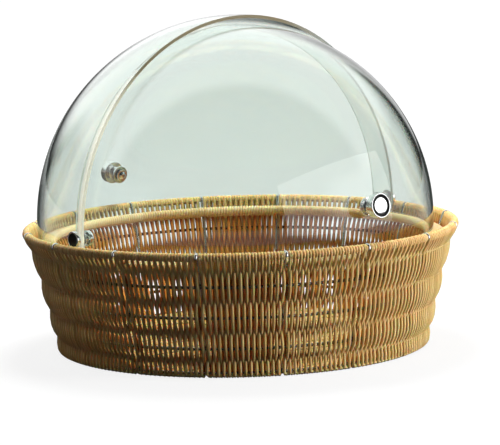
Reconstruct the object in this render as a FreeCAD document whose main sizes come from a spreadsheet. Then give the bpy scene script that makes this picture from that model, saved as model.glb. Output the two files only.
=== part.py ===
import FreeCAD, Part
import math
import os
import re

import Sketcher

# Roll-top display basket: a round basket of plastic rattan strands woven on a
# welded wire frame, under a clear dome of two nested shells.
# Origin: centre of the underside. +Z up, X along the dome's pivot axis, and the
# shell that rolls open faces -Y. Sizes in millimetres and degrees.

SIZES = {
    # frame wire and strand
    "wire_dia": 3.0,
    "strand_dia": 2.8,
    "weave_play": 0.12,
    "weld_gap": 0.05,
    # basket rings: the wall leans outwards from the base ring, and the rim a little more
    "base_ring_radius": 171.0,
    "rim_flare": 3.34,
    "lower_ring_height": 27.0,
    "ring_pitch": 28.5,
    "rim_radius": 200.0,
    "rim_height": 112.0,
    "ledge_reach": 23.0,
    "ledge_rise": 3.35,
    "ledge_gap": 0.3,
    # upright wires and the bays of weave between them
    "upright_count": 16,
    "basket_turn": 6.0,
    "bay_gap": 0.6,
    "upright_foot": 1.8,
    "flare_bend": 12.0,
    "flare_rise": 2.0,
    "hook_end": 15.0,
    # woven floor on parallel wires
    "floor_wire_count": 11,
    "floor_wire_pitch": 28.0,
    "floor_gap": 0.4,
    # dome of two shells about one pivot axis
    "hood_inset": 10.0,
    "shell_step": 9.0,
    "shell_wall": 3.0,
    "skirt_drop": 14.45,
    "rear_lap": 8.0,
    "front_lap": 11.0,
    "seat_play": 0.3,
    # pivot spools
    "pin_dia": 6.0,
    "pin_play": 0.05,
    "spool_dia": 16.0,
    "spool_thick": 3.6,
    "spool_round": 0.8,
    "spool_lip": 1.4,
    "spool_dish": 0.5,
    "cap_dia": 14.0,
    "cap_thick": 4.0,
    "cap_floor": 1.5,
    "spacer_dia": 12.0,
    "run_gap": 0.3,
    "seat_gap": 0.03,
    # knobs
    "knob_angle": 8.0,
    "knob_dia": 22.0,
    "knob_head": 8.0,
    "knob_round": 1.5,
    "knob_dish": 1.0,
    "knob_lip": 2.2,
    "neck_dia": 9.0,
    "neck_length": 9.0,
    "flange_dia": 17.0,
    "flange_thick": 2.4,
    "screw_dia": 4.0,
    "screw_reach": 9.0,
    "screw_head_dia": 8.0,
    "screw_head": 2.0,
    "washer_dia": 12.0,
    "washer_thick": 1.0,
    "screw_play": 0.1,
}

doc = FreeCAD.newDocument("RollTopBasket")
sheet = doc.addObject("Spreadsheet::Sheet", "Sizes")
for row, (alias, number) in enumerate(SIZES.items(), start=1):
    sheet.set(f"A{row}", alias)
    sheet.set(f"B{row}", str(number))
    sheet.setAlias(f"B{row}", alias)
doc.recompute()

ALIAS = re.compile(r"\b(" + "|".join(SIZES) + r")\b")
ALONG = FreeCAD.Vector(1, 0, 0)
ACROSS = FreeCAD.Vector(0, 1, 0)
UP = FreeCAD.Vector(0, 0, 1)
NODES = []

# Shared heights and radii, as expressions on the sheet's cells
BEAD = "(wire_dia / 2 + strand_dia)"
HALF = "(strand_dia / 2)"
TUNNEL = "(wire_dia / 2 + weave_play)"
HOOK = "(wire_dia + weld_gap)"
HEIGHT = {
    "base": BEAD,
    "lower": "lower_ring_height",
    "middle": "(lower_ring_height + ring_pitch)",
    "upper": "(lower_ring_height + 2 * ring_pitch)",
    "rim": "rim_height",
}
LEAN = f"((rim_radius - rim_flare - base_ring_radius) / (rim_height - {BEAD}))"
RADIUS = {
    name: f"(base_ring_radius + ({height} - {BEAD}) * {LEAN})"
    for name, height in HEIGHT.items()
}
RADIUS["rim"] = "rim_radius"
BAY = "(360 / upright_count)"
BAY_FILL = f"({BAY} * 1 deg - 2 * asin((wire_dia / 2 + bay_gap) / base_ring_radius))"
FIRST_BAY = "(270 + basket_turn)"

# The ledge inside the rim is a flat sleeve of strands on two wires. The outer one lies
# against the uprights where the wall is narrowest, and the inner one a little higher.
FLARE = f"atan((rim_radius - {RADIUS['upper']}) / (rim_height - {HEIGHT['upper']}))"
STAND_OFF = f"(2 * {HOOK} + ledge_gap)"
LEDGE_OUT_R = f"((rim_radius + {RADIUS['upper']}) / 2 - {STAND_OFF} * cos({FLARE}))"
LEDGE_OUT_Z = f"((rim_height + {HEIGHT['upper']}) / 2 + {STAND_OFF} * sin({FLARE}))"
LEDGE_R = "(rim_radius - ledge_reach)"
LEDGE_Z = f"({LEDGE_OUT_Z} + ledge_rise)"
LEDGE_FALL = f"atan(ledge_rise / ({LEDGE_OUT_R} - {LEDGE_R}))"

# The rear shell stands on the ledge with its inner corner, and the front shell closes
# down onto the ledge's inner bead.
REAR_R = "(rim_radius - hood_inset)"
FRONT_R = f"({REAR_R} - shell_step)"
REAR_IN = f"({REAR_R} - shell_wall)"
FRONT_IN = f"({FRONT_R} - shell_wall)"
SEAT = (
    f"({LEDGE_Z} + {BEAD} / cos({LEDGE_FALL}) + seat_play"
    f" - ({REAR_IN} - {LEDGE_R}) * tan({LEDGE_FALL}))"
)
PIVOT = f"({SEAT} + skirt_drop)"
FRONT_DROP = f"({PIVOT} - {LEDGE_Z} - {BEAD} - seat_play)"


def spell(text):
    """An expression on the sheet, from one that uses the cells' bare names."""
    return ALIAS.sub(r"Sizes.\1", text)


def value(text):
    """The number that an expression gives now."""
    return float(sheet.evalExpression(text))


def bind(item, prop, text):
    item.setExpression(prop, spell(text))


def node(item, name):
    """Name a finished piece of the object."""
    item.Label = name
    NODES.append(item)
    return item


def spot(at):
    return FreeCAD.Vector(value(at[0]), value(at[1]), 0)


def new_body(name):
    return doc.addObject("PartDesign::Body", name)


def origin_part(body, role):
    return [part for part in body.Origin.OriginFeatures if part.Role == role][0]


def new_sketch(body, name, role):
    sketch = body.newObject("Sketcher::SketchObject", name)
    sketch.AttachmentSupport = [(origin_part(body, role), "")]
    sketch.MapMode = "FlatFace"
    return sketch


def hold(sketch, geo, end, at):
    """Tie one point of a sketch to two expressions, its distances from the axes."""
    for kind, axis, text in (("DistanceX", -2, at[0]), ("DistanceY", -1, at[1])):
        if text == "0":
            sketch.addConstraint(Sketcher.Constraint("PointOnObject", geo, end, axis))
            continue
        tie = Sketcher.Constraint(kind, -1, 1, geo, end, value(text))
        bind(sketch, f"Constraints[{sketch.addConstraint(tie)}]", text)


def arc_through(start, middle, finish):
    """A sketch arc, and which of its ends are its start and its finish."""
    centre = Part.Circle(start, middle, finish).Center
    first = math.atan2(start.y - centre.y, start.x - centre.x)
    last = math.atan2(finish.y - centre.y, finish.x - centre.x)
    ends = (1, 2)
    if (middle - start).cross(finish - middle).z < 0:
        first, last = last, first
        ends = (2, 1)
    if last < first:
        last += 2 * math.pi
    circle = Part.Circle(centre, UP, (start - centre).Length)
    return Part.ArcOfCircle(circle, first, last), ends


def outline(sketch, corners, through=None):
    """A closed profile; a side with a point in through is the arc that passes there."""
    through = through or {}
    sides = []
    for index, corner in enumerate(corners):
        start = spot(corner)
        finish = spot(corners[(index + 1) % len(corners)])
        ends = (1, 2)
        side = Part.LineSegment(start, finish)
        if index in through:
            side, ends = arc_through(start, spot(through[index]), finish)
        sides.append((sketch.addGeometry(side), ends))
    for index, (geo, ends) in enumerate(sides):
        after, after_ends = sides[(index + 1) % len(sides)]
        sketch.addConstraint(
            Sketcher.Constraint("Coincident", geo, ends[1], after, after_ends[0])
        )
        hold(sketch, geo, ends[0], corners[index])
        if index in through:
            mark = sketch.addGeometry(Part.Point(spot(through[index])), True)
            hold(sketch, mark, 1, through[index])
            sketch.addConstraint(Sketcher.Constraint("PointOnObject", mark, 1, geo))


def circle(sketch, at, size):
    geo = sketch.addGeometry(Part.Circle(spot(at), UP, value(size)))
    hold(sketch, geo, 3, at)
    tie = Sketcher.Constraint("Radius", geo, value(size))
    bind(sketch, f"Constraints[{sketch.addConstraint(tie)}]", size)


def revolve(body, sketch, angle="360"):
    """Turn a profile about the body's Z axis, half of the angle to each side."""
    turn = body.newObject("PartDesign::Revolution", body.Name + "_turn")
    turn.Profile = sketch
    turn.ReferenceAxis = (sketch, ["V_Axis"])
    turn.Midplane = True
    bind(turn, "Angle", angle)
    return turn


def around(body, feature):
    """Copies of a feature, one for each bay of the basket."""
    ring = body.newObject("PartDesign::PolarPattern", body.Name + "_ring")
    ring.Originals = [feature]
    ring.Axis = (origin_part(body, "Z_Axis"), [""])
    ring.Angle = 360
    bind(ring, "Occurrences", "upright_count")
    body.Tip = ring


def aim(item, axis, angle, height="0"):
    """Place a piece at a height and turn it about one axis."""
    turn = FreeCAD.Rotation(axis, value(angle))
    item.Placement = FreeCAD.Placement(FreeCAD.Vector(0, 0, value(height)), turn)
    bind(item, "Placement.Base.z", height)
    bind(item, "Placement.Rotation.Angle", angle)


# Frame: welded rings
def ring_wire(name, ring_radius, height):
    ring = doc.addObject("Part::Torus", name)
    bind(ring, "Radius1", ring_radius)
    bind(ring, "Radius2", "wire_dia / 2")
    bind(ring, "Placement.Base.z", height)
    node(ring, name)


ring_wire("base_ring", RADIUS["base"], HEIGHT["base"])
ring_wire("ring_lower", RADIUS["lower"], HEIGHT["lower"])
ring_wire("ring_middle", RADIUS["middle"], HEIGHT["middle"])
ring_wire("ring_upper", RADIUS["upper"], HEIGHT["upper"])
ring_wire("rim_wire", RADIUS["rim"], HEIGHT["rim"])
ring_wire("ledge_wire", LEDGE_R, LEDGE_Z)
ring_wire("ledge_outer_wire", LEDGE_OUT_R, LEDGE_OUT_Z)


# Frame: uprights. Each stands inside the rings, leans with the wall, flares to the
# rim wire and hooks over it to the outside.
def bent_wire(points, middles, wire_radius):
    """One wire along lines and arcs; the side after point i is an arc through middles[i]."""
    sides = []
    for index in range(len(points) - 1):
        side = Part.LineSegment(points[index], points[index + 1])
        if index in middles:
            side = Part.Arc(points[index], middles[index], points[index + 1])
        sides.append(side.toShape())
    section = Part.Wire(Part.Circle(points[0], UP, wire_radius).toShape())
    return Part.Wire(sides).makePipeShell([section], True, False)


def upright():
    lean = math.atan(value(LEAN))
    hook = value(HOOK)
    bend = value("flare_bend")
    rim = FreeCAD.Vector(value("rim_radius"), 0, value("rim_height"))
    ring = FreeCAD.Vector(value(RADIUS["upper"]), 0, value(HEIGHT["upper"]))
    foot = FreeCAD.Vector(value(f"base_ring_radius - {HOOK}"), 0, value("upright_foot"))
    wall = FreeCAD.Vector(math.sin(lean), 0, math.cos(lean))
    beside = ring + FreeCAD.Vector(-math.cos(lean), 0, math.sin(lean)) * hook
    corner = beside + wall * ((foot.x - beside.x) / wall.x)
    flare = beside + wall * value("flare_rise")
    reach = rim - flare
    tilt = math.atan2(reach.x, reach.z) - math.asin(hook / reach.Length)
    rise = FreeCAD.Vector(math.sin(tilt), 0, math.cos(tilt))
    run = math.sqrt(reach.Length ** 2 - hook ** 2)
    # the hook turns from where the wire meets the rim to a little below level outside
    last = math.radians(-value("hook_end"))
    middle = (math.pi - tilt + last) / 2
    # at the foot the wire bends round the base ring
    cut = hook * math.tan(lean / 2)
    flare_cut = bend * math.tan((tilt - lean) / 2)
    points = [
        foot,
        corner - UP * cut,
        corner + wall * cut,
        flare - wall * flare_cut,
        flare + rise * flare_cut,
        flare + rise * run,
        rim + FreeCAD.Vector(math.cos(last), 0, math.sin(last)) * hook,
    ]
    # the point of each bend that lies on the line from its corner to its centre
    sag = hook * (1 / math.cos(lean / 2) - 1)
    flare_sag = bend * (1 / math.cos((tilt - lean) / 2) - 1)
    half = (lean + tilt) / 2
    middles = {
        1: corner + FreeCAD.Vector(math.cos(lean / 2), 0, -math.sin(lean / 2)) * sag,
        3: flare + FreeCAD.Vector(math.cos(half), 0, -math.sin(half)) * flare_sag,
        5: rim + FreeCAD.Vector(math.cos(middle), 0, math.sin(middle)) * hook,
    }
    return bent_wire(points, middles, value("wire_dia / 2"))


one_upright = upright()
uprights = doc.addObject("Part::Feature", "uprights")
bay = value(BAY)
uprights.Shape = Part.makeCompound(
    [one_upright.rotated(FreeCAD.Vector(), UP, bay * index) for index in range(round(360 / bay))]
)
aim(uprights, UP, f"{FIRST_BAY} + {BAY} / 2")
node(uprights, "uprights")


# Weave: the wall bays between the uprights. The strands swell round each ring and
# close up midway between two rings, and turn over the rim wire at the top.
def mid(one, other, part):
    return f"(({part[one]} + {part[other]}) / 2)"


def woven_wall():
    body = new_body("woven_wall")
    sketch = new_sketch(body, "wall_profile", "XZ_Plane")
    pairs = [("base", "lower"), ("lower", "middle"), ("middle", "upper"), ("upper", "rim")]
    waists = [(mid(*pair, RADIUS), mid(*pair, HEIGHT)) for pair in pairs]
    swells = [(RADIUS[name], HEIGHT[name]) for name in ("lower", "middle", "upper")]
    base = (RADIUS["base"], HEIGHT["base"])
    rim = (RADIUS["rim"], HEIGHT["rim"])
    outside = [(f"{base[0]} + {BEAD}", base[1])]
    outside += [(f"{at[0]} + {HALF}", at[1]) for at in waists]
    outside += [(f"{rim[0]} + {BEAD}", rim[1])]
    inside = [(f"{rim[0]} - {BEAD}", rim[1])]
    inside += [(f"{at[0]} - {HALF}", at[1]) for at in reversed(waists)]
    inside += [(f"{base[0]} - {BEAD}", base[1])]
    through = {index + 1: (f"{at[0]} + {BEAD}", at[1]) for index, at in enumerate(swells)}
    through[5] = (rim[0], f"{rim[1]} + {BEAD}")
    for index, at in enumerate(reversed(swells)):
        through[index + 7] = (f"{at[0]} - {BEAD}", at[1])
    through[11] = (base[0], f"{base[1]} - {BEAD}")
    outline(sketch, outside + inside, through)
    for at in [base, *swells, rim]:
        circle(sketch, at, TUNNEL)
    around(body, revolve(body, sketch, BAY_FILL))
    aim(body, UP, FIRST_BAY)
    node(body, "woven_wall")


woven_wall()


# Weave: the ledge bays, each a sleeve wound round both ledge wires
def sleeve(sketch, size):
    """A closed outline at one distance from the line between the ledge wires."""
    along = (f"{size} * cos({LEDGE_FALL})", f"{size} * sin({LEDGE_FALL})")
    corners = [
        (f"{LEDGE_R} + {along[1]}", f"{LEDGE_Z} + {along[0]}"),
        (f"{LEDGE_R} - {along[1]}", f"{LEDGE_Z} - {along[0]}"),
        (f"{LEDGE_OUT_R} - {along[1]}", f"{LEDGE_OUT_Z} - {along[0]}"),
        (f"{LEDGE_OUT_R} + {along[1]}", f"{LEDGE_OUT_Z} + {along[0]}"),
    ]
    through = {
        0: (f"{LEDGE_R} - {along[0]}", f"{LEDGE_Z} + {along[1]}"),
        2: (f"{LEDGE_OUT_R} + {along[0]}", f"{LEDGE_OUT_Z} - {along[1]}"),
    }
    outline(sketch, corners, through)


def woven_ledge():
    body = new_body("woven_ledge")
    sketch = new_sketch(body, "ledge_profile", "XZ_Plane")
    sleeve(sketch, BEAD)
    sleeve(sketch, TUNNEL)
    around(body, revolve(body, sketch, BAY_FILL))
    aim(body, UP, FIRST_BAY)
    node(body, "woven_ledge")


woven_ledge()


# Floor: parallel wires in a flat woven disc between the feet of the uprights
FLOOR_R = f"(base_ring_radius - {HOOK} - wire_dia / 2 - floor_gap)"


def floor_rods(name, rod_radius):
    """A row of rods along X, as long as the floor is wide."""
    body = new_body(name)
    sketch = new_sketch(body, name + "_end", "YZ_Plane")
    circle(sketch, ("-floor_wire_pitch * (floor_wire_count - 1) / 2", HEIGHT["base"]), rod_radius)
    rod = body.newObject("PartDesign::Pad", name + "_rod")
    rod.Profile = sketch
    rod.Midplane = True
    bind(rod, "Length", "2 * base_ring_radius")
    row = body.newObject("PartDesign::LinearPattern", name + "_row")
    row.Originals = [rod]
    row.Direction = (origin_part(body, "Y_Axis"), [""])
    bind(row, "Length", "floor_wire_pitch * (floor_wire_count - 1)")
    bind(row, "Occurrences", "floor_wire_count")
    body.Tip = row
    return body


def floor_disc(name):
    disc = doc.addObject("Part::Cylinder", name)
    bind(disc, "Radius", FLOOR_R)
    bind(disc, "Height", f"2 * {BEAD}")
    return disc


floor_wires = doc.addObject("Part::Common", "floor_wires")
floor_wires.Base = floor_rods("floor_wire_row", "wire_dia / 2")
floor_wires.Tool = floor_disc("floor_wire_reach")
node(floor_wires, "floor_wires")

woven_floor = doc.addObject("Part::Cut", "woven_floor")
woven_floor.Base = floor_disc("floor_blank")
woven_floor.Tool = floor_rods("floor_tunnels", TUNNEL)
node(woven_floor, "woven_floor")


# Dome: each shell is a thin sphere about the pivot axis, cut level at the skirt
# and upright a little past the axis, with a rounded ear below the pivot.
def dome_shell(name, outer, lap, drop, toward, knob_turn):
    ball = doc.addObject("Part::Sphere", name + "_ball")
    bind(ball, "Radius", outer)
    core = doc.addObject("Part::Sphere", name + "_core")
    bind(core, "Radius", f"{outer} - shell_wall")
    skin = doc.addObject("Part::Cut", name + "_skin")
    skin.Base = ball
    skin.Tool = core

    body = new_body(name + "_side")
    sketch = new_sketch(body, name + "_side_view", "YZ_Plane")
    far = f"{toward} * 1.1 * {outer}"
    edge = f"-({toward}) * {lap}"
    corners = [
        (far, f"-{drop}"),
        (far, f"1.1 * {outer}"),
        (edge, f"1.1 * {outer}"),
        (edge, "0"),
        ("0", f"-{drop}"),
    ]
    outline(sketch, corners, {3: (f"{edge} * cos(45)", f"-{drop} * sin(45)")})
    side = body.newObject("PartDesign::Pad", name + "_side_pad")
    side.Profile = sketch
    side.Midplane = True
    bind(side, "Length", f"2.2 * {outer}")

    half = doc.addObject("Part::Common", name + "_half")
    half.Base = skin
    half.Tool = body
    bored = doc.addObject("Part::Cut", name + "_bored")
    bored.Base = half
    bored.Tool = doc.addObject("Part::Cylinder", name + "_pivot_bore")
    bind(bored.Tool, "Radius", "pin_dia / 2 + pin_play")
    bind(bored.Tool, "Height", f"2.2 * {outer}")
    bored.Tool.Placement.Rotation = FreeCAD.Rotation(ACROSS, 90)
    bind(bored.Tool, "Placement.Base.x", f"-1.1 * {outer}")
    shell = doc.addObject("Part::Cut", name)
    shell.Base = bored
    shell.Tool = doc.addObject("Part::Cylinder", name + "_knob_bore")
    bind(shell.Tool, "Radius", "screw_dia / 2 + screw_play")
    bind(shell.Tool, "Height", f"1.1 * {outer}")
    aim(shell.Tool, ALONG, knob_turn)
    bind(shell, "Placement.Base.z", PIVOT)
    node(shell, name)


FRONT_TURN = "(90 - knob_angle)"
REAR_TURN = "(knob_angle - 90)"
dome_shell("rear_shell", REAR_R, "rear_lap", "skirt_drop", "1", REAR_TURN)
dome_shell("front_shell", FRONT_R, "front_lap", FRONT_DROP, "-1", FRONT_TURN)


# Turned pieces: profiles about Z, measured from the dome's centre, then aimed
def turned(name, axis, angle, corners, through=None):
    body = new_body(name)
    sketch = new_sketch(body, name + "_profile", "XZ_Plane")
    outline(sketch, corners, through)
    revolve(body, sketch)
    aim(body, axis, angle, PIVOT)
    node(body, name)


# Knobs: a dished head on a waisted neck and flange, held by a screw from inside
def knob(name, outer, turn):
    seat = f"({outer} + seat_gap)"
    neck = f"({seat} + flange_thick)"
    head = f"({neck} + neck_length)"
    face = f"({head} + knob_head)"
    bore = "(screw_dia / 2 + screw_play)"
    bore_end = f"({seat} + screw_reach + screw_play)"
    root = "(neck_dia / 2 + knob_round)"
    rim = "(knob_dia / 2 - knob_round)"
    dish = "(knob_dia / 2 - knob_lip)"
    soft = "knob_round * (1 - cos(45))"
    corners = [
        (bore, seat),
        ("flange_dia / 2", seat),
        ("flange_dia / 2", neck),
        (root, neck),
        (root, head),
        (rim, head),
        ("knob_dia / 2", f"{head} + knob_round"),
        ("knob_dia / 2", f"{face} - knob_round"),
        (rim, face),
        (dish, face),
        ("0", f"{face} - knob_dish"),
        ("0", bore_end),
        (bore, bore_end),
    ]
    through = {
        3: ("neck_dia / 2", f"{neck} + neck_length / 2"),
        5: (f"knob_dia / 2 - {soft}", f"{head} + {soft}"),
        7: (f"knob_dia / 2 - {soft}", f"{face} - {soft}"),
        9: (f"{dish} / 2", f"{face} - 0.75 * knob_dish"),
    }
    turned(name, ALONG, turn, corners, through)

    grip = f"(sqrt(({outer} - shell_wall) ^ 2 - (washer_dia / 2) ^ 2) - seat_gap)"
    under = f"({grip} - washer_thick)"
    washer = [
        (bore, under),
        ("washer_dia / 2", under),
        ("washer_dia / 2", grip),
        (bore, grip),
    ]
    turned(name + "_washer", ALONG, turn, washer)

    top = f"({under} - seat_gap)"
    screw = [
        ("0", f"{top} - screw_head"),
        ("screw_head_dia / 2", top),
        ("screw_dia / 2", top),
        ("screw_dia / 2", f"{seat} + screw_reach"),
        ("0", f"{seat} + screw_reach"),
    ]
    crown = ("screw_head_dia / 2 * cos(45)", f"{top} - screw_head * sin(45)")
    turned(name + "_screw", ALONG, turn, screw, {0: crown})


knob("rear_knob", REAR_R, REAR_TURN)
knob("front_knob", FRONT_R, FRONT_TURN)


# Pivots: a headed pin through both shells, a spacer between them and a cap inside
def pivot(side, turn):
    bore = "(pin_dia / 2 + pin_play)"
    seat = f"({REAR_R} + seat_gap)"
    face = f"({seat} + spool_thick)"
    cap_top = f"(sqrt({FRONT_IN} ^ 2 - (cap_dia / 2) ^ 2) - run_gap)"
    cap_end = f"({cap_top} - cap_thick)"
    pin_end = f"({cap_end} + cap_floor + pin_play)"
    soft = "spool_round * (1 - cos(45))"
    pin = [
        ("0", pin_end),
        ("pin_dia / 2", pin_end),
        ("pin_dia / 2", seat),
        ("spool_dia / 2", seat),
        ("spool_dia / 2", f"{face} - spool_round"),
        ("spool_dia / 2 - spool_round", face),
        ("spool_dia / 2 - spool_lip", face),
        ("0", f"{face} - spool_dish"),
    ]
    through = {
        4: (f"spool_dia / 2 - {soft}", f"{face} - {soft}"),
        6: ("(spool_dia / 2 - spool_lip) / 2", f"{face} - 0.75 * spool_dish"),
    }
    turned("pivot_pin_" + side, ACROSS, turn, pin, through)

    spacer_end = f"(sqrt({REAR_IN} ^ 2 - (spacer_dia / 2) ^ 2) - seat_gap)"
    spacer = [
        (bore, f"{FRONT_R} + run_gap"),
        ("spacer_dia / 2", f"{FRONT_R} + run_gap"),
        ("spacer_dia / 2", spacer_end),
        (bore, spacer_end),
    ]
    turned("pivot_spacer_" + side, ACROSS, turn, spacer)

    cap = [
        ("0", cap_end),
        ("cap_dia / 2 - spool_round", cap_end),
        ("cap_dia / 2", f"{cap_end} + spool_round"),
        ("cap_dia / 2", cap_top),
        (bore, cap_top),
        (bore, f"{cap_end} + cap_floor"),
        ("0", f"{cap_end} + cap_floor"),
    ]
    crown = (f"cap_dia / 2 - {soft}", f"{cap_end} + {soft}")
    turned("pivot_cap_" + side, ACROSS, turn, cap, {1: crown})


pivot("left", "-90")
pivot("right", "90")

doc.recompute()
for item in doc.Objects:
    if "Invalid" in item.State or "Error" in item.State:
        raise RuntimeError(f"{item.Label} did not compute")
for item in NODES:
    if item.Shape.isNull() or not item.Shape.isValid():
        raise RuntimeError(f"{item.Label} is not a valid solid")

os.makedirs("parts", exist_ok=True)
for item in NODES:
    item.Shape.exportStep(f"parts/{item.Label}.step")
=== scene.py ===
import math
import random

import bmesh
import bpy
from mathutils import Matrix, Vector


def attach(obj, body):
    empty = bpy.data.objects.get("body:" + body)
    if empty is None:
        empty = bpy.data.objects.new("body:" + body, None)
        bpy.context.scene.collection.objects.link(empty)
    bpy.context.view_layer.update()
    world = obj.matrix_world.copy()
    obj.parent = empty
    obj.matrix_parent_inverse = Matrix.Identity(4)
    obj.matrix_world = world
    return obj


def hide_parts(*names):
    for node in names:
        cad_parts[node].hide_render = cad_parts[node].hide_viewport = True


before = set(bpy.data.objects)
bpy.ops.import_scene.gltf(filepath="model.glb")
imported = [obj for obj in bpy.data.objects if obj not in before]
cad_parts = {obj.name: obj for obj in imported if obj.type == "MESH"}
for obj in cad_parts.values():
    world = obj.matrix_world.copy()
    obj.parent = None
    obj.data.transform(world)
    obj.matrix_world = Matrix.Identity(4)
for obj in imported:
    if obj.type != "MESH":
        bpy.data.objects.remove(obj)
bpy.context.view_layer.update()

# Roll-top basket. Sizes are in millimetres, as on the part's sheet, and MM turns them into
# the frame's metres. Places in the materials and in the studio are in metres.
MM = 0.001

# Wires and strands, by radius
WIRE, STRAND = 1.5, 1.4
WIRE_SIDES, STRAND_SIDES, FLOOR_SIDES = 10, 6, 4
BROAD = 1.1  # a strand of the wall is this much wider than it is thick
WIRE_GAP = 0.05
WRAP = WIRE + STRAND  # from a wire's middle to that of a strand bent round it
HOOK = 2 * WIRE + WIRE_GAP  # from a hoop's middle to that of an upright beside it

# Middles of the hoops' wires, as radius and height
BASE, RIM = Vector((171.0, 0, 4.3)), Vector((200.0, 0, 112.0))
LEDGE, LEDGE_OUT = Vector((177.0, 0, 103.505)), Vector((188.968, 0, 100.155))
HOOPS = {"ring_lower": 27.0, "ring_middle": 55.5, "ring_upper": 84.0}
HOOP_STEPS = 160
FLARE = 3.34  # how far the rim stands out beyond the slope of the wall
LEAN = math.atan2(RIM.x - FLARE - BASE.x, RIM.z - BASE.z)
WALL_OUT = -math.degrees(LEAN)
WALL_IN = 180 + WALL_OUT

# Heights at which an upright bends, and its turns over the rim in degrees
UPRIGHT_FOOT = (1.8, 4.2)
UPRIGHT_WALL = (30.0, 57.0, 84.5)
UPRIGHT_FLARE = 87.5
HOOK_TURNS = (160, 138, 116, 94, 72, 50, 28, 6, -15)

# Bays of weave, with an upright in the slit between each two
BAYS = 16
BAY = math.tau / BAYS
FIRST_BAY = math.radians(276)
STRANDS = 28
SLIT = 0.25  # in strands
FILL = BAY * STRANDS / (STRANDS + SLIT)
PLAY = 0.06  # of a strand's place, in strands
OUT_ASIDE, IN_ASIDE, RIM_ASIDE = -0.6, 1.28, 1.1  # how a strand makes way for an upright
LEDGE_TURNS = 25
LEDGE_CLEAR = 0.4
FLOOR_R, FLOOR_PITCH = 166.05, 28.0
FLOOR_END = 4.0  # a strand of the floor crosses no wire nearer to its end than this
WALL_TONES, LEDGE_TONES = (0.0, 0.45), (0.15, 0.4)

# Dome: shells, knobs and pivots are round about a centre on the pivots' line
PIVOT = 119.921
REAR_R, FRONT_R, SHELL = 190.0, 181.0, 3.0
ARC_STEPS, ROUND_STEPS, CORNER_STEPS = 110, 200, 8
PIN, BORE = 3.0, 3.05
PIN_HEAD, CAP, SPACER_R, WASHER = 8.0, 7.0, 6.0, 6.0
SEAT_GAP, SPACER_GAP, RUN_GAP = 0.03, 0.15, 0.3
KNOB_RISE = math.radians(8)
CUT_FACE = 0.7  # faces that look less straight out than this are cut edges
LIP_WIDTH = 5.5
# Left of this the rear shell's lip carries painted pale light and a painted glow
LIP_END = -120.0  # to the right of this the rear shell's lip is as clear as the rest
rng = random.Random(41)


# Materials
def finish(name):
    """A new material with its nodes, main shader and Object coordinates."""
    mat = bpy.data.materials.new(name)
    mat.use_nodes = True
    tree = mat.node_tree
    place = tree.nodes.new("ShaderNodeTexCoord")
    return mat, tree, tree.nodes["Principled BSDF"], place.outputs["Object"]


def feed(tree, source, socket):
    """Link another node's output to a socket, or write a plain value there."""
    if isinstance(source, bpy.types.NodeSocket):
        tree.links.new(source, socket)
    else:
        socket.default_value = source


def dress(tree, shader, settings):
    """Feed a shader's sockets by name."""
    for socket, source in settings.items():
        feed(tree, source, shader.inputs[socket])


def sums(tree, operation, *terms):
    """A sum, product or other result of numbers and outputs."""
    node = tree.nodes.new("ShaderNodeMath")
    node.operation = operation
    for term, socket in zip(terms, node.inputs):
        feed(tree, term, socket)
    return node.outputs["Value"]


def vector_sums(tree, operation, where, other=(0, 0, 0)):
    node = tree.nodes.new("ShaderNodeVectorMath")
    node.operation = operation
    node.inputs[1].default_value = other
    tree.links.new(where, node.inputs[0])
    return node.outputs


def along(tree, where, axis):
    """How far a point lies along an axis, in metres."""
    return vector_sums(tree, "DOT_PRODUCT", where, axis)["Value"]


def length(tree, where):
    return vector_sums(tree, "LENGTH", where)["Value"]


def fit_range(tree, source, start, end, low, high, eased=True):
    """A value from low to high as the source goes from start to end."""
    fit = tree.nodes.new("ShaderNodeMapRange")
    fit.interpolation_type = "SMOOTHSTEP" if eased else "LINEAR"
    dress(tree, fit, {
        "Value": source, "From Min": start, "From Max": end, "To Min": low, "To Max": high,
    })
    return fit.outputs["Result"]


def speckle(tree, where, stretch):
    """Noise on the piece's own coordinates, with a scale for each direction."""
    turn = tree.nodes.new("ShaderNodeMapping")
    noise = tree.nodes.new("ShaderNodeTexNoise")
    dress(tree, turn, {"Vector": where, "Scale": stretch})
    dress(tree, noise, {"Vector": turn.outputs["Vector"], "Scale": 1.0, "Detail": 3.0})
    return noise.outputs["Fac"]


PALE_NOISE, DEEP_NOISE = 0.7, 0.3  # most of the noise lies between these


def spread(tree, noise, low, high):
    return fit_range(tree, noise, DEEP_NOISE, PALE_NOISE, low, high, eased=False)


def shades(tree, source, colours):
    """Colours at places from nothing to one, blended in between."""
    ramp = tree.nodes.new("ShaderNodeValToRGB")
    band = ramp.color_ramp
    while len(band.elements) < len(colours):
        band.elements.new(0.5)
    for element, (spot, colour) in zip(band.elements, colours):
        element.position = spot
        element.color = (*colour, 1)
    tree.links.new(source, ramp.inputs["Fac"])
    return ramp.outputs["Color"]


def bands(tree, source, start, end, stops):
    """Colours at values of the source that lie between start and end."""
    level = fit_range(tree, source, start, end, 0, 1, eased=False)
    places = [((value - start) / (end - start), colour) for value, colour in stops]
    return shades(tree, level, places)


def blend(tree, share, one, other, kind="MIX"):
    """One colour, or the other where the share is full."""
    mix = tree.nodes.new("ShaderNodeMix")
    mix.data_type = "RGBA"
    mix.blend_type = kind
    for socket, source in (("Factor", share), (6, one), (7, other)):
        feed(tree, source, mix.inputs[socket])
    return mix.outputs[2]


def either(tree, share, one, other):
    """One shader, or the other where the share is full."""
    mix = tree.nodes.new("ShaderNodeMixShader")
    for source, socket in zip((share, one, other), mix.inputs):
        tree.links.new(source, socket)
    return mix.outputs["Shader"]


def relief(tree, height, depth, strength):
    bump = tree.nodes.new("ShaderNodeBump")
    dress(tree, bump, {"Height": height, "Distance": depth * MM, "Strength": strength})
    return bump.outputs["Normal"]


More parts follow.
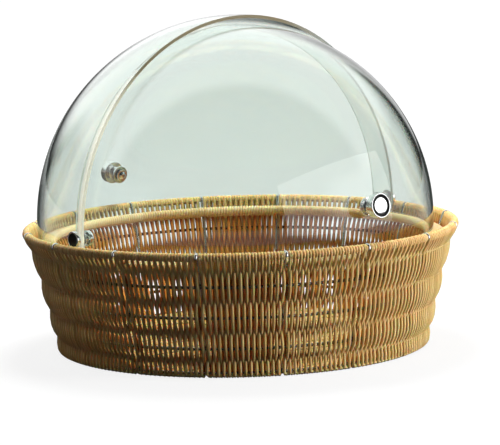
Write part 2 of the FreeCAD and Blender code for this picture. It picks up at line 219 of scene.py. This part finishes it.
def wall_depth(tree, where):
    """How far a point lies inside the wall's middle surface, in metres; less than
    nothing outside it."""
    slope = math.tan(LEAN)
    rise = along(tree, where, (0, 0, slope))
    middle = sums(tree, "ADD", rise, (BASE.x - BASE.z * slope) * MM)
    reach = length(tree, vector_sums(tree, "MULTIPLY", where, (1, 1, 0))["Vector"])
    return sums(tree, "SUBTRACT", middle, reach)


# Tones of the strands, and what the wall's tones are multiplied by: painted shade between
# the strands and painted warm bounce light on its inner side, at depths from its middle
# surface, and a redder tint near the rim
HONEY = [(0.15, (0.52, 0.335, 0.11)), (0.55, (0.715, 0.515, 0.205)), (1.0, (0.84, 0.665, 0.32))]
CREAM = [(0.15, (0.56, 0.36, 0.16)), (0.55, (0.78, 0.55, 0.29)), (1.0, (0.92, 0.70, 0.44))]
OUTSIDE, PAINTED_GAP_SHADE, PAINTED_INNER_BOUNCE = (1.0, 1.0, 1.0), (0.62, 0.29, 0.13), (1.15, 0.70, 0.40)
PAINTED_WALL_SHADING = [(-1.6, OUTSIDE), (0.2, PAINTED_GAP_SHADE), (1.7, PAINTED_GAP_SHADE), (2.9, PAINTED_INNER_BOUNCE)]
WALL_DEPTHS = (-4.0, 6.0)
AT_RIM = (1.0, 0.91, 0.90)
RIM_SHADE = (100.0, 108.0)
BLOTCHES = (60, 60, 40)
GRAIN_SHARE, BLOTCH_SHARE = 0.35, 0.3


def rattan(name, stretch, colours, wall=False):
    """Satin plastic strand: each strand has its own tone, with a fine grain along it and
    wider blotches. On the wall, painted shade darkens it between its strands and painted warm
    bounce light makes its inner side redder than the outer one; near the rim a slightly
    redder tint takes their place."""
    mat, tree, shader, where = finish(name)
    tone = tree.nodes.new("ShaderNodeAttribute")
    tone.attribute_name = "tone"
    grain = speckle(tree, where, stretch)
    mixed = sums(tree, "MULTIPLY_ADD", grain, GRAIN_SHARE, tone.outputs["Fac"])
    drift = sums(tree, "MULTIPLY_ADD", speckle(tree, where, BLOTCHES), BLOTCH_SHARE, mixed)
    colour = shades(tree, drift, colours)
    if wall:
        # Painted shade between the strands and painted warm bounce light on the inner side, by
        # depth
        start, end = (depth * MM for depth in WALL_DEPTHS)
        stops = [(depth * MM, shade) for depth, shade in PAINTED_WALL_SHADING]
        painted_by_depth = bands(tree, wall_depth(tree, where), start, end, stops)
        start, end = (height * MM for height in RIM_SHADE)
        near_rim = fit_range(tree, along(tree, where, (0, 0, 1)), start, end, 0.0, 1.0)
        shade = blend(tree, near_rim, painted_by_depth, (*AT_RIM, 1))
        colour = blend(tree, 1.0, colour, shade, "MULTIPLY")
    dress(tree, shader, {
        "Base Color": colour,
        "Roughness": spread(tree, grain, 0.36, 0.52),
        "Normal": relief(tree, grain, depth=0.25, strength=0.5),
        "IOR": 1.45,
        "Subsurface Weight": 0.38,
        "Subsurface Radius": (1.0, 0.3, 0.08),
        "Subsurface Scale": 3 * MM,
    })
    return mat


def metal(name, dark, light, smooth, dull, fineness):
    """Metal, or a painted black with its gloss that stands for a dark reflection, that is a
    little cloudy.
    """
    mat, tree, shader, where = finish(name)
    cloud = speckle(tree, where, (fineness,) * 3)
    dress(tree, shader, {
        "Base Color": shades(tree, cloud, [(DEEP_NOISE, dark), (PALE_NOISE, light)]),
        "Roughness": spread(tree, cloud, smooth, dull),
        "Metallic": 1.0,
    })
    return mat


# The cut edge of the dome, and the lip, are painted pale and glow with painted light on
# their left, though they are no lamp: fully to the left of the first of these places along X,
# and not at all to the right of the second
GLOW_FULL, GLOW_END = -0.165, -0.115
EDGE_REACH = 0.2
PAINTED_GLOW = 0.25
# Where the sheet is painted dark as a reflection at its silhouette: from one slant of it to
# the other, below a line that climbs to the right and fades between two heights
RIM_SLANT, RIM_CLIMB, RIM_FADE = (0.71, 0.85), 0.6, (0.25, 0.31)


def acrylic(name, tint, smooth, dull, fineness, milky=0.0, rim=None, cut=None):
    """Clear sheet that lamps shine through, with a faint haze from wiping. Seen edge-on it takes
    the painted dark rim colour, a painted dark reflection at its silhouette that is partly the
    longer path through the tinted sheet, more so low down and to the right. A cut edge has
    colours from left to right, pale on the left with painted light, and glows there with
    painted light though it is no lamp."""
    mat, tree, shader, where = finish(name)
    haze = speckle(tree, where, (fineness,) * 3)
    if cut:
        across = along(tree, where, (1, 0, 0))
        colour = bands(tree, across, -EDGE_REACH, EDGE_REACH, cut)
        # Painted glow: the cut edge shines on its left though it is no lamp
        dress(tree, shader, {
            "Emission Color": (1.0, 0.98, 0.86, 1),
            "Emission Strength": fit_range(tree, across, GLOW_FULL, GLOW_END, PAINTED_GLOW, 0.0),
        })
    else:
        deeper = tuple(part * 0.985 for part in tint)
        colour = shades(tree, haze, [(DEEP_NOISE, deeper), (PALE_NOISE, tint)])
    # Painted dark reflection at the silhouette, partly the longer path through the tinted sheet
    if rim:
        slant = tree.nodes.new("ShaderNodeLayerWeight")
        slant.inputs["Blend"].default_value = 0.5
        edge_on = fit_range(tree, slant.outputs["Facing"], *RIM_SLANT, 0.0, 1.0)
        low = fit_range(tree, along(tree, where, (-RIM_CLIMB, 0, 1)), *RIM_FADE, 1.0, 0.1)
        colour = blend(tree, sums(tree, "MULTIPLY", edge_on, low), colour, (*rim, 1))
    dress(tree, shader, {
        "Base Color": colour,
        "Roughness": spread(tree, haze, smooth, dull),
        "IOR": 1.49,
        "Transmission Weight": 1.0 - milky,
    })
    path = tree.nodes.new("ShaderNodeLightPath")
    clear = tree.nodes.new("ShaderNodeBsdfTransparent")
    clear.inputs["Color"].default_value = (*tint, 1)
    surface = either(
        tree, path.outputs["Is Shadow Ray"], shader.outputs["BSDF"], clear.outputs["BSDF"],
    )
    tree.links.new(surface, tree.nodes["Material Output"].inputs["Surface"])
    return mat


WALL_RATTAN = rattan("rattan_wall", (900, 900, 70), HONEY, wall=True)
LEDGE_RATTAN = rattan("rattan_ledge", (500, 500, 500), CREAM)
FLOOR_RATTAN = rattan("rattan_floor", (900, 70, 900), HONEY)
# Metals: dark and light tone, least and most roughness, fineness of the clouds
STEEL = metal("drawn_wire", (0.62, 0.62, 0.60), (0.80, 0.80, 0.78), 0.12, 0.22, 300)
# The hoops are the same drawn steel as the uprights, painted darker to stand for the shade they
# lie in inside the weave
PAINTED_SHADE_HOOP_STEEL = metal("hoop_wire_painted_shade", (0.17, 0.17, 0.16), (0.28, 0.28, 0.27), 0.16, 0.28, 300)
CHROME = metal("chrome_plate", (0.74, 0.74, 0.74), (0.83, 0.83, 0.83), 0.04, 0.09, 120)
# Black standing in for the dark reflection on slanted chrome: the knobs' rings and the pins'
# dishes
PAINTED_REFLECTION_BLACK = metal("black_painted_reflection", (0.012, 0.012, 0.012), (0.03, 0.03, 0.03), 0.25, 0.4, 200)

# The sheet's tint, and the near black painted at its silhouette as a dark reflection
SHEET_TINT, SHEET_PAINTED_DARK_EDGE = (0.805, 0.87, 0.84), (0.0006, 0.0022, 0.0012)
# The lip's pale tint is painted light from the left
LIP_PAINTED_PALE, AMBER = (0.88, 0.86, 0.76), (0.42, 0.34, 0.18)
# The cut edge is painted pale on the left as light from that side; amber and grey-green further
# right
EDGE_COLOURS_WITH_PAINTED_PALE = [
    (GLOW_FULL, (0.80, 0.76, 0.62)), (GLOW_END, AMBER), (0.05, AMBER), (0.11, (0.60, 0.66, 0.60)),
]
LIP_PAINTED_LIGHT = [(GLOW_FULL, LIP_PAINTED_PALE), (GLOW_END, SHEET_TINT)]
CLEAR = acrylic("clear_acrylic", SHEET_TINT, 0.0, 0.004, 14, rim=SHEET_PAINTED_DARK_EDGE)
EDGE = acrylic("cut_acrylic_edge", (0.78, 0.72, 0.56), 0.28, 0.42, 90, 0.45, cut=EDGE_COLOURS_WITH_PAINTED_PALE)
LIP_WITH_PAINTED_LIGHT = acrylic("lip_with_painted_light", LIP_PAINTED_PALE, 0.1, 0.2, 60, 0.4, cut=LIP_PAINTED_LIGHT)
SPACER = acrylic("clear_spacer", (0.86, 0.87, 0.85), 0.08, 0.2, 150)


# Pieces
def piece(name, bm, materials, body, slot, *nodes):
    """Finish a mesh as a piece of the object that rides on a body and stands for CAD nodes."""
    mesh = bpy.data.meshes.new(name)
    bm.to_mesh(mesh)
    bm.free()
    for mat in materials:
        mesh.materials.append(mat)
    ob = bpy.data.objects.new(name, mesh)
    bpy.context.scene.collection.objects.link(ob)
    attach(ob, body)
    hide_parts(*nodes)


def soften(bm, angle):
    """Smooth faces, with creases where two faces meet at more than the angle."""
    for face in bm.faces:
        face.smooth = True
    for edge in bm.edges:
        if len(edge.link_faces) == 2:
            edge.smooth = edge.calc_face_angle(0) < math.radians(angle)


def stand(point, way):
    """A matrix at a point of a path, with local Z along the path and local Y across it."""
    way = way.normalized()
    out = Vector((0, 1, 0)).cross(way).normalized()
    turn = Matrix((out, way.cross(out), way)).transposed().to_4x4()
    return Matrix.Translation(point * MM) @ turn


def sweep(path, radius, sides):
    """A rod along a path, made by extruding a ring from point to point."""
    bm = bmesh.new()
    befores, afters = [path[0]] + path[:-1], path[1:] + [path[-1]]
    places = [stand(*spot) for spot in zip(path, (b - a for a, b in zip(befores, afters)))]
    bmesh.ops.create_circle(bm, segments=sides, radius=radius * MM, matrix=places[0])
    first = list(bm.edges)
    ring = first
    for here, there in zip(places, places[1:]):
        made = bmesh.ops.extrude_edge_only(bm, edges=ring)["geom"]
        verts = [item for item in made if isinstance(item, bmesh.types.BMVert)]
        bmesh.ops.transform(bm, matrix=there @ here.inverted(), verts=verts)
        ring = [
            edge for edge in made
            if isinstance(edge, bmesh.types.BMEdge) and all(v in verts for v in edge.verts)
        ]
    bmesh.ops.holes_fill(bm, edges=first + ring, sides=sides)
    bmesh.ops.recalc_face_normals(bm, faces=bm.faces)
    soften(bm, 70)
    return bm


def template(bm):
    mesh = bpy.data.meshes.new("template")
    bm.to_mesh(mesh)
    bm.free()
    return mesh


def gather(placed):
    """One mesh of many copies: each a template mesh, its matrix and its tone."""
    bm = bmesh.new()
    tone = bm.verts.layers.float.new("tone")
    for mesh, matrix, shade in placed:
        start = len(bm.verts)
        bm.from_mesh(mesh)
        bm.verts.ensure_lookup_table()
        fresh = bm.verts[start:]
        bmesh.ops.transform(bm, matrix=matrix, verts=fresh)
        for vert in fresh:
            vert[tone] = shade
    return bm


def around(angle):
    return Matrix.Rotation(angle, 4, "Z")


def hoop_centre(height):
    """The middle of the wall at a height."""
    return Vector((BASE.x + (height - BASE.z) * math.tan(LEAN), 0, height))


def off(angle, reach):
    """A step in the plane of radius and height, at an angle from straight out."""
    return Vector((math.cos(math.radians(angle)), 0, math.sin(math.radians(angle)))) * reach


# Wire frame
def hoop(name, centre):
    bm = bmesh.new()
    ring = bmesh.ops.create_circle(
        bm, segments=WIRE_SIDES, radius=WIRE * MM,
        matrix=Matrix.Translation(centre * MM) @ Matrix.Rotation(math.pi / 2, 4, "X"),
    )["verts"]
    bmesh.ops.spin(
        bm, geom=ring + list(bm.edges), axis=(0, 0, 1), cent=(0, 0, 0),
        angle=math.tau, steps=HOOP_STEPS, use_merge=True,
    )
    bmesh.ops.remove_doubles(bm, verts=bm.verts, dist=0.01 * MM)
    bmesh.ops.recalc_face_normals(bm, faces=bm.faces)
    soften(bm, 60)
    piece(name + "_steel", bm, [PAINTED_SHADE_HOOP_STEEL], "basket", "wire", name)


hoop("base_ring", BASE)
for ring_name, ring_height in HOOPS.items():
    hoop(ring_name, hoop_centre(ring_height))
hoop("rim_wire", RIM)
hoop("ledge_wire", LEDGE)
hoop("ledge_outer_wire", LEDGE_OUT)

# Each upright runs up the inside of the hoops, flares to the rim and hooks over it to the
# outside.
upright_path = [Vector((BASE.x - HOOK, 0, height)) for height in UPRIGHT_FOOT]
upright_path.append(BASE + off(WALL_IN, HOOK) + off(90 + WALL_OUT, 1.0))
upright_path += [hoop_centre(height) + off(WALL_IN, HOOK) for height in UPRIGHT_WALL]
upright_path.append(hoop_centre(UPRIGHT_FLARE) + off(WALL_IN, HOOK) + off(WALL_OUT, WIRE_GAP))
upright_path += [RIM + off(turn, HOOK) for turn in HOOK_TURNS]
one_upright = template(sweep(upright_path, WIRE, WIRE_SIDES))
uprights = gather([(one_upright, around(FIRST_BAY + BAY * (n + 0.5)), 0.5) for n in range(BAYS)])
piece("uprights_steel", uprights, [STEEL], "basket", "wire", "uprights")


# Weave of the wall: strands pass outside one hoop and inside the next, turn under
# the base ring, and wrap the rim from either side.
def wall_strand(side, shy):
    """One strand; next to an upright it keeps a little aside wherever it runs inside."""
    levels = [BASE] + [hoop_centre(height) for height in HOOPS.values()] + [RIM]
    outside = [side * (-1) ** index for index in range(len(levels))]
    aside = [shy * (OUT_ASIDE if out > 0 else IN_ASIDE) for out in outside]
    aside[-1] = shy * RIM_ASIDE
    # Under the base ring
    turns = (-150, -95, -45) if outside[0] > 0 else (330, 275, 225)
    path = [BASE + off(turn, WRAP) + Vector((0, shy, 0)) for turn in turns]
    foot = BASE + off(WALL_OUT if outside[0] > 0 else WALL_IN, WRAP)
    path.append(foot + Vector((0, aside[0], 0)))
    # In and out of the hoops
    for index in range(len(levels) - 1):
        low, high = levels[index], levels[index + 1]
        way = (high - low).normalized()
        out = Vector((way.z, 0, -way.x))
        if index:
            path.append(low + out * outside[index] * WRAP + Vector((0, aside[index], 0)))
        for part in (0.2, 0.8):
            swing = math.cos(math.pi * part) * WRAP * outside[index]
            sway = aside[index] + (aside[index + 1] - aside[index]) * part
            path.append(low.lerp(high, part) + out * swing + Vector((0, sway, 0)))
    # Over the rim
    turns = (0, 50, 100, 150, 200) if outside[-1] > 0 else (180, 130, 80, 30, -20, -65)
    path += [RIM + off(turn, WRAP) + Vector((0, aside[-1], 0)) for turn in turns]
    bm = sweep(path, STRAND, STRAND_SIDES)
    bmesh.ops.scale(bm, vec=(1, BROAD, 1), verts=bm.verts)
    return template(bm)


strand_kinds = {(side, shy): wall_strand(side, shy) for side in (1, -1) for shy in (-1, 0, 1)}
wall = []
for bay in range(BAYS):
    start = FIRST_BAY + BAY * bay - FILL / 2
    for n in range(STRANDS):
        turn = start + FILL * (n + 0.5 + rng.uniform(-PLAY, PLAY)) / STRANDS
        shy = 1 if n == 0 else -1 if n == STRANDS - 1 else 0
        wall.append((strand_kinds[1 - 2 * (n % 2), shy], around(turn), rng.uniform(*WALL_TONES)))
piece("wall_strands", gather(wall), [WALL_RATTAN], "basket", "rattan", "woven_wall")

# Ledge: one strand in each bay, wound closely round both ledge hoops; its turns draw
# aside at the outer hoop, where the uprights pass
ledge_notch = 2 * math.asin((WIRE + LEDGE_CLEAR + STRAND) / LEDGE_OUT.x)
ledge_run = math.degrees(math.atan2(LEDGE_OUT.z - LEDGE.z, LEDGE_OUT.x - LEDGE.x))
ledge_round = [(LEDGE, turn, BAY) for turn in (90, 135, 180, 225, 270)]
ledge_round += [(LEDGE_OUT, turn, BAY - ledge_notch) for turn in (-90, -45, 0, 45, 90)]
ledge_steps = LEDGE_TURNS * len(ledge_round)
ledge_path = []
for step in range(ledge_steps + 1):
    wire, turn, fill = ledge_round[step % len(ledge_round)]
    swing = around(fill * (step / ledge_steps - 0.5))
    ledge_path.append(swing @ (wire + off(ledge_run + turn, WRAP)))
ledge_coil = template(sweep(ledge_path, STRAND, STRAND_SIDES))
ledge = [
    (ledge_coil, around(FIRST_BAY + BAY * bay), rng.uniform(*LEDGE_TONES)) for bay in range(BAYS)
]
piece("ledge_strands", gather(ledge), [LEDGE_RATTAN], "basket", "rattan", "woven_ledge")


# Floor: strands along Y, over and under the eleven wires along X
def floor_strand(reach, side):
    path = [Vector((-reach, 0, BASE.z))]
    last = math.floor((reach - FLOOR_END) / FLOOR_PITCH)
    for wire in range(-last, last + 1):
        swing = WRAP * side * (-1) ** wire
        for part, share in ((-0.2, 0.81), (0.0, 1.0), (0.2, 0.81)):
            path.append(Vector(((wire + part) * FLOOR_PITCH, 0, BASE.z + swing * share)))
    path.append(Vector((reach, 0, BASE.z)))
    return template(sweep(path, STRAND, FLOOR_SIDES))


floor = []
count = int(FLOOR_R / (2 * STRAND)) - 1
for n in range(-count, count + 1):
    across = n * 2 * STRAND
    reach = math.sqrt(FLOOR_R ** 2 - (abs(across) + STRAND) ** 2)
    place = Matrix.Translation((across * MM, 0, 0)) @ around(math.pi / 2)
    floor.append((floor_strand(reach, (-1) ** n), place, rng.uniform(*WALL_TONES)))
piece("floor_strands", gather(floor), [FLOOR_RATTAN], "basket", "rattan", "woven_floor")
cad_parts["floor_wires"].data.materials.clear()
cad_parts["floor_wires"].data.materials.append(STEEL)


# Dome
def cut_plane(bm, spot, slant, clear):
    """Cut a mesh by a plane, and take away what lies in front of the plane if asked."""
    bmesh.ops.bisect_plane(
        bm, geom=list(bm.verts) + list(bm.edges) + list(bm.faces), dist=0.001 * MM,
        plane_co=Vector(spot) * MM, plane_no=slant, clear_outer=clear,
    )


def dome_shell(name, radius, lap, drop, toward, body, lip):
    """Part of a sphere about the pivot axis, with bores on the axis. It laps past the axis
    on one side and drops below it, with a rounded lower corner."""
    bm = bmesh.new()
    bore = math.asin(BORE / radius)
    start = bm.verts.new(Vector((math.cos(bore), 0, math.sin(bore))) * radius * MM)
    bmesh.ops.spin(
        bm, geom=[start], axis=(0, -1, 0), cent=(0, 0, 0), angle=math.pi - 2 * bore,
        steps=ARC_STEPS,
    )
    bmesh.ops.spin(
        bm, geom=list(bm.verts) + list(bm.edges), axis=(1, 0, 0), cent=(0, 0, 0),
        angle=math.tau, steps=ROUND_STEPS, use_merge=True,
    )
    bmesh.ops.remove_doubles(bm, verts=bm.verts, dist=0.01 * MM)
    cut_plane(bm, (0, -lap * toward, 0), (0, -toward, 0), True)
    cut_plane(bm, (0, 0, -drop), (0, 0, -1), True)
    for step in range(1, CORNER_STEPS):
        turn = math.pi / 2 * step / CORNER_STEPS
        spot = (0, -lap * toward * math.cos(turn), -drop * math.sin(turn))
        slant = (0, -toward * math.cos(turn) / lap, -math.sin(turn) / drop)
        cut_plane(bm, spot, slant, True)
    bmesh.ops.remove_doubles(bm, verts=bm.verts, dist=0.05 * MM)
    lip_line = (LIP_WIDTH - lap) * toward
    cut_plane(bm, (0, lip_line, 0), (0, -toward, 0), False)
    bmesh.ops.recalc_face_normals(bm, faces=bm.faces)
    sample = next(iter(bm.faces))
    if sample.normal.dot(sample.calc_center_median()) < 0:
        bmesh.ops.reverse_faces(bm, faces=bm.faces)
    bmesh.ops.solidify(bm, geom=list(bm.faces), thickness=SHELL * MM)
    for face in bm.faces:
        middle = face.calc_center_median()
        if abs(face.normal.dot(middle.normalized())) < CUT_FACE:
            face.material_index = 1
        elif (middle.y - lip_line * MM) * toward < 0 and middle.x < LIP_END * MM:
            face.material_index = 2
    bmesh.ops.translate(bm, verts=bm.verts, vec=(0, 0, PIVOT * MM))
    soften(bm, 40)
    piece(name + "_clear", bm, [CLEAR, EDGE, lip], body, "clear_acrylic", name)


dome_shell("rear_shell", REAR_R, lap=8.0, drop=14.45, toward=1, body="hood", lip=LIP_WITH_PAINTED_LIGHT)
dome_shell(
    "front_shell", FRONT_R, lap=11.0, drop=11.816, toward=-1, body="front_cover", lip=CLEAR,
)


def turned(name, profile, axis, mat, body, slot, round_off=0.4, groove=None):
    """A part turned about a line through the dome's centre, from radii and heights along
    that line. A groove between two radii above a height is painted black, a painted dark
    reflection."""
    bm = bmesh.new()
    verts = [bm.verts.new((radius * MM, 0, height * MM)) for radius, height in profile]
    for one, other in zip(verts, verts[1:]):
        bm.edges.new((one, other))
    corners = [vert for vert in verts if len(vert.link_edges) == 2 and vert.co.x > 0.1 * MM]
    bmesh.ops.bevel(
        bm, geom=corners, offset=round_off * MM, offset_type="OFFSET", segments=3,
        profile=0.5, affect="VERTICES", material=-1,
    )
    bmesh.ops.spin(
        bm, geom=list(bm.verts) + list(bm.edges), axis=(0, 0, 1), cent=(0, 0, 0),
        angle=math.tau, steps=64, use_merge=True,
    )
    bmesh.ops.remove_doubles(bm, verts=bm.verts, dist=0.005 * MM)
    bmesh.ops.recalc_face_normals(bm, faces=bm.faces)
    soften(bm, 50)
    if groove:
        inner, outer, above = groove
        for face in bm.faces:
            middle = face.calc_center_median() / MM
            if inner < middle.xy.length < outer and middle.z > above:
                face.material_index = 1
    turn = Vector((0, 0, 1)).rotation_difference(Vector(axis)).to_matrix().to_4x4()
    bmesh.ops.transform(bm, matrix=Matrix.Translation((0, 0, PIVOT * MM)) @ turn, verts=bm.verts)
    piece(name + "_turned", bm, [mat, PAINTED_REFLECTION_BLACK] if groove else [mat], body, slot, name)


def tube(inner, outer, low, high):
    """The closed profile of a ring."""
    return [(inner, low), (outer, low), (outer, high), (inner, high), (inner, low)]


def knob(name, outer, axis, body):
    """A knob on a waisted neck, with a washer and a screw inside the shell."""
    seat = outer + SEAT_GAP
    neck, head = seat + 2.4, seat + 11.4
    face = head + 8.0
    profile = [
        (0, seat), (8.5, seat), (8.5, neck), (6.2, neck), (4.9, neck + 1.6), (4.5, neck + 4.5),
        (4.9, head - 1.6), (6.2, head), (11.0, head), (11.0, face), (10.0, face),
        (9.0, face - 1.3), (7.4, face - 1.3), (7.4, face - 0.5), (0, face - 0.5),
    ]
    # The black ring in the knob's face is a painted dark reflection
    turned(name, profile, axis, CHROME, body, "chrome", groove=(7.3, 10.0, head + 4))
    grip = math.sqrt((outer - SHELL) ** 2 - WASHER ** 2) - SEAT_GAP
    washer = tube(2.1, WASHER, grip - 1, grip)
    turned(name + "_washer", washer, axis, CHROME, body, "chrome", 0.2)
    top = grip - 1 - SEAT_GAP
    screw = [
        (0, top - 2), (2.2, top - 1.75), (3.5, top - 0.9), (4, top), (2, top), (2, seat + 8),
        (0, seat + 8),
    ]
    turned(name + "_screw", screw, axis, CHROME, body, "chrome", 0.15)


knob("rear_knob", REAR_R, (0, math.cos(KNOB_RISE), math.sin(KNOB_RISE)), "hood")
knob("front_knob", FRONT_R, (0, -math.cos(KNOB_RISE), math.sin(KNOB_RISE)), "front_cover")

# Pivots: a pin with a dished head outside, a spacer between the shells and a cap inside
for side, axis in (("left", (-1, 0, 0)), ("right", (1, 0, 0))):
    seat = REAR_R + SEAT_GAP
    cap_top = math.sqrt((FRONT_R - SHELL) ** 2 - CAP ** 2) - RUN_GAP
    pin_end = cap_top - 2.45
    pin = [
        (0, pin_end), (PIN, pin_end), (PIN, seat), (PIN_HEAD, seat), (PIN_HEAD, seat + 3.6),
        (6.6, seat + 3.6), (6.2, seat + 3.1), (0, seat + 3.1),
    ]
    # The dish of the pin's head is painted black: a painted dark reflection
    turned("pivot_pin_" + side, pin, axis, CHROME, "hood", "chrome", groove=(0, 6.5, seat + 2))
    spacer = tube(BORE, SPACER_R, FRONT_R + RUN_GAP, REAR_R - SHELL - SPACER_GAP)
    turned("pivot_spacer_" + side, spacer, axis, SPACER, "hood", "spacer", 0.2)
    cap = [(BORE, cap_top), (CAP, cap_top), (CAP, cap_top - 4), (0, cap_top - 4)]
    turned("pivot_cap_" + side, cap, axis, CHROME, "hood", "chrome")

# Studio: pale floor, white background, a side lamp with a wide soft box that only shows in
# gloss, and lamps above and behind
scene = bpy.context.scene
scene.view_settings.view_transform = "Standard"
VIEW_TURN, VIEW_RISE, VIEW_ROLL = math.radians(-39), math.radians(7.7), math.radians(1.61)
CENTRE = Vector((0, 0, 0.12))  # the dome's foot, at which lamps and camera are aimed


def toward_place(turn, rise):
    """The direction of a place, by its turn from the front and its rise."""
    return Vector((
        math.sin(turn) * math.cos(rise), -math.cos(turn) * math.cos(rise), math.sin(rise),
    ))


back = toward_place(VIEW_TURN, VIEW_RISE)
right = Vector((math.cos(VIEW_TURN), math.sin(VIEW_TURN), 0))
up = back.cross(right)


def ray_share(tree, *shares):
    """The sum of two shares, at most one; each is a number or a kind of ray."""
    path = tree.nodes.new("ShaderNodeLightPath")
    terms = [path.outputs[share] if isinstance(share, str) else share for share in shares]
    total = sums(tree, "ADD", *terms)
    total.node.use_clamp = True
    return total


# Surroundings: gloss mirrors a room that is bright behind the object and dark in front;
# low down it has bright walls to the right and left with dark openings between them. Other
# rays get half of that room; the rest is white for what is seen, and next to nothing for
# light on the object.
ROOM_SHARE = 0.5
BRIGHT, DARK = 1.5, 0.04
WALLS = [  # turn in degrees and brightness
    (-130, 0.04), (-118, 0.95), (-62, 0.95), (-50, 0.5), (-35, 0.04), (-22, 0.04), (-18, 0.95),
    (5, 0.95), (8, 0.04), (30, 0.04), (90, 0.5), (118, 0.5), (135, 0.04),
]
world = bpy.data.worlds.new("studio")
scene.world = world
world.use_nodes = True
tree = world.node_tree
direction = tree.nodes.new("ShaderNodeTexCoord").outputs["Generated"]
high_room = fit_range(tree, along(tree, direction, back), 0.0, 0.2, BRIGHT, DARK)
turned_room = tree.nodes.new("ShaderNodeVectorRotate")
turned_room.rotation_type = "Z_AXIS"
dress(tree, turned_room, {"Vector": direction, "Angle": -math.pi / 2 - VIEW_TURN})
axes = tree.nodes.new("ShaderNodeSeparateXYZ")
tree.links.new(turned_room.outputs["Vector"], axes.inputs["Vector"])
ahead, leftward, upward = (axes.outputs[axis] for axis in "XYZ")
low_room = bands(
    tree, sums(tree, "ARCTAN2", leftward, ahead), -math.pi, math.pi,
    [(math.radians(turn), (level,) * 3) for turn, level in WALLS],
)
# The high room reaches further down ahead and to the left
lowered = sums(
    tree, "MULTIPLY", fit_range(tree, leftward, -0.15, 0.1, 0.0, 0.23),
    fit_range(tree, ahead, 0.65, 0.9, 0.0, 1.0),
)
rise = fit_range(tree, sums(tree, "ADD", upward, lowered), 0.25, 0.45, 0.0, 1.0)
ambient, white, room = (
    tree.nodes["Background"],
    tree.nodes.new("ShaderNodeBackground"),
    tree.nodes.new("ShaderNodeBackground"),
)
dress(tree, ambient, {"Color": (1, 1, 1, 1), "Strength": 0.015})
dress(tree, white, {"Color": (1, 1, 1, 1), "Strength": 1.0})
dress(tree, room, {"Color": blend(tree, rise, low_room, high_room), "Strength": 1.0})
plain = either(
    tree, ray_share(tree, "Is Camera Ray", "Is Transmission Ray"),
    ambient.outputs["Background"], white.outputs["Background"],
)
mirrored = either(
    tree, ray_share(tree, "Is Glossy Ray", ROOM_SHARE), plain, room.outputs["Background"],
)
tree.links.new(mirrored, tree.nodes["World Output"].inputs["Surface"])

# Floor: pale paper that keeps the shadow. It is pale only where it is seen, so that it
# throws little light up at the object.
FLOOR_SPAN, FLOOR_LEVEL = 14.0, -0.5 * MM
PAPER, DIM_PAPER = (0.9, 0.9, 0.9, 1), (0.05, 0.05, 0.05, 1)
PAPER_GLOW = 0.85  # share of its own white, which grows a little away from the object
bm = bmesh.new()
bmesh.ops.create_grid(
    bm, x_segments=1, y_segments=1, size=FLOOR_SPAN,
    matrix=Matrix.Translation((0, 0, FLOOR_LEVEL)),
)
floor_mesh = bpy.data.meshes.new("studio_floor")
bm.to_mesh(floor_mesh)
bm.free()
floor_mat, tree, shader, where = finish("pale_floor")
seen = ray_share(tree, "Is Camera Ray", "Is Transmission Ray")
dress(tree, shader, {
    "Base Color": blend(tree, seen, DIM_PAPER, PAPER),
    "Roughness": 0.8,
    "Specular IOR Level": 0.1,
})
paper = tree.nodes.new("ShaderNodeEmission")
tree.links.new(
    fit_range(tree, length(tree, where), 0.2, 1.4, 1.0, 1.18), paper.inputs["Strength"],
)
surface = either(
    tree, sums(tree, "MULTIPLY", seen, PAPER_GLOW),
    shader.outputs["BSDF"], paper.outputs["Emission"],
)
tree.links.new(surface, tree.nodes["Material Output"].inputs["Surface"])
floor_mesh.materials.append(floor_mat)
studio_floor = bpy.data.objects.new("studio_floor", floor_mesh)
scene.collection.objects.link(studio_floor)


def lamp(name, turn, rise, distance, width, height, power):
    """A soft box aimed at the dome's foot. Turn, to the right of the camera, and rise are
    in degrees, power in watts."""
    away = toward_place(VIEW_TURN + math.radians(turn), math.radians(rise))
    light = bpy.data.lights.new(name, "AREA")
    light.shape = "RECTANGLE"
    light.size = width
    light.size_y = height
    light.energy = power
    ob = bpy.data.objects.new(name, light)
    ob.location = CENTRE + away * distance
    ob.rotation_euler = away.to_track_quat("Z", "Y").to_euler()
    ob.visible_camera = False
    ob.visible_transmission = False
    scene.collection.objects.link(ob)
    return ob


gloss_box = lamp("soft_right", turn=61, rise=12, distance=1.5, width=2.18, height=0.92, power=13)
side_key = lamp("side_key", turn=69, rise=18, distance=1.6, width=0.6, height=0.7, power=26)
top_box = lamp("soft_top", turn=180, rise=70, distance=0.62, width=0.35, height=0.35, power=9.5)
back_box = lamp("soft_back", turn=178, rise=30, distance=1.6, width=1.6, height=0.9, power=5)
gloss_box.visible_diffuse = False
for unmirrored in (side_key, top_box, back_box):
    unmirrored.visible_glossy = False

# Camera, fitted to the photo; its focal length is in pixels of a picture this wide
FOCAL, PICTURE_WIDTH = 2881, 500
VIEW_DISTANCE = 2.7
AIM_RIGHT, AIM_DOWN = 0.0092, 0.0048
camera = bpy.data.cameras.new("photo_camera")
camera.sensor_width = 36.0
camera.lens = FOCAL / PICTURE_WIDTH * camera.sensor_width
camera.clip_end = 50
eye = bpy.data.objects.new("photo_camera", camera)
scene.collection.objects.link(eye)
scene.camera = eye
roll_right = right * math.cos(VIEW_ROLL) - up * math.sin(VIEW_ROLL)
roll_up = right * math.sin(VIEW_ROLL) + up * math.cos(VIEW_ROLL)
station = CENTRE + back * VIEW_DISTANCE
aim = CENTRE + roll_right * AIM_RIGHT - roll_up * AIM_DOWN
look = (station - aim).normalized()
eye_right = roll_up.cross(look).normalized()
eye_up = look.cross(eye_right)
eye_turn = Matrix((eye_right, eye_up, look)).transposed().to_4x4()
eye.matrix_world = Matrix.Translation(station) @ eye_turn
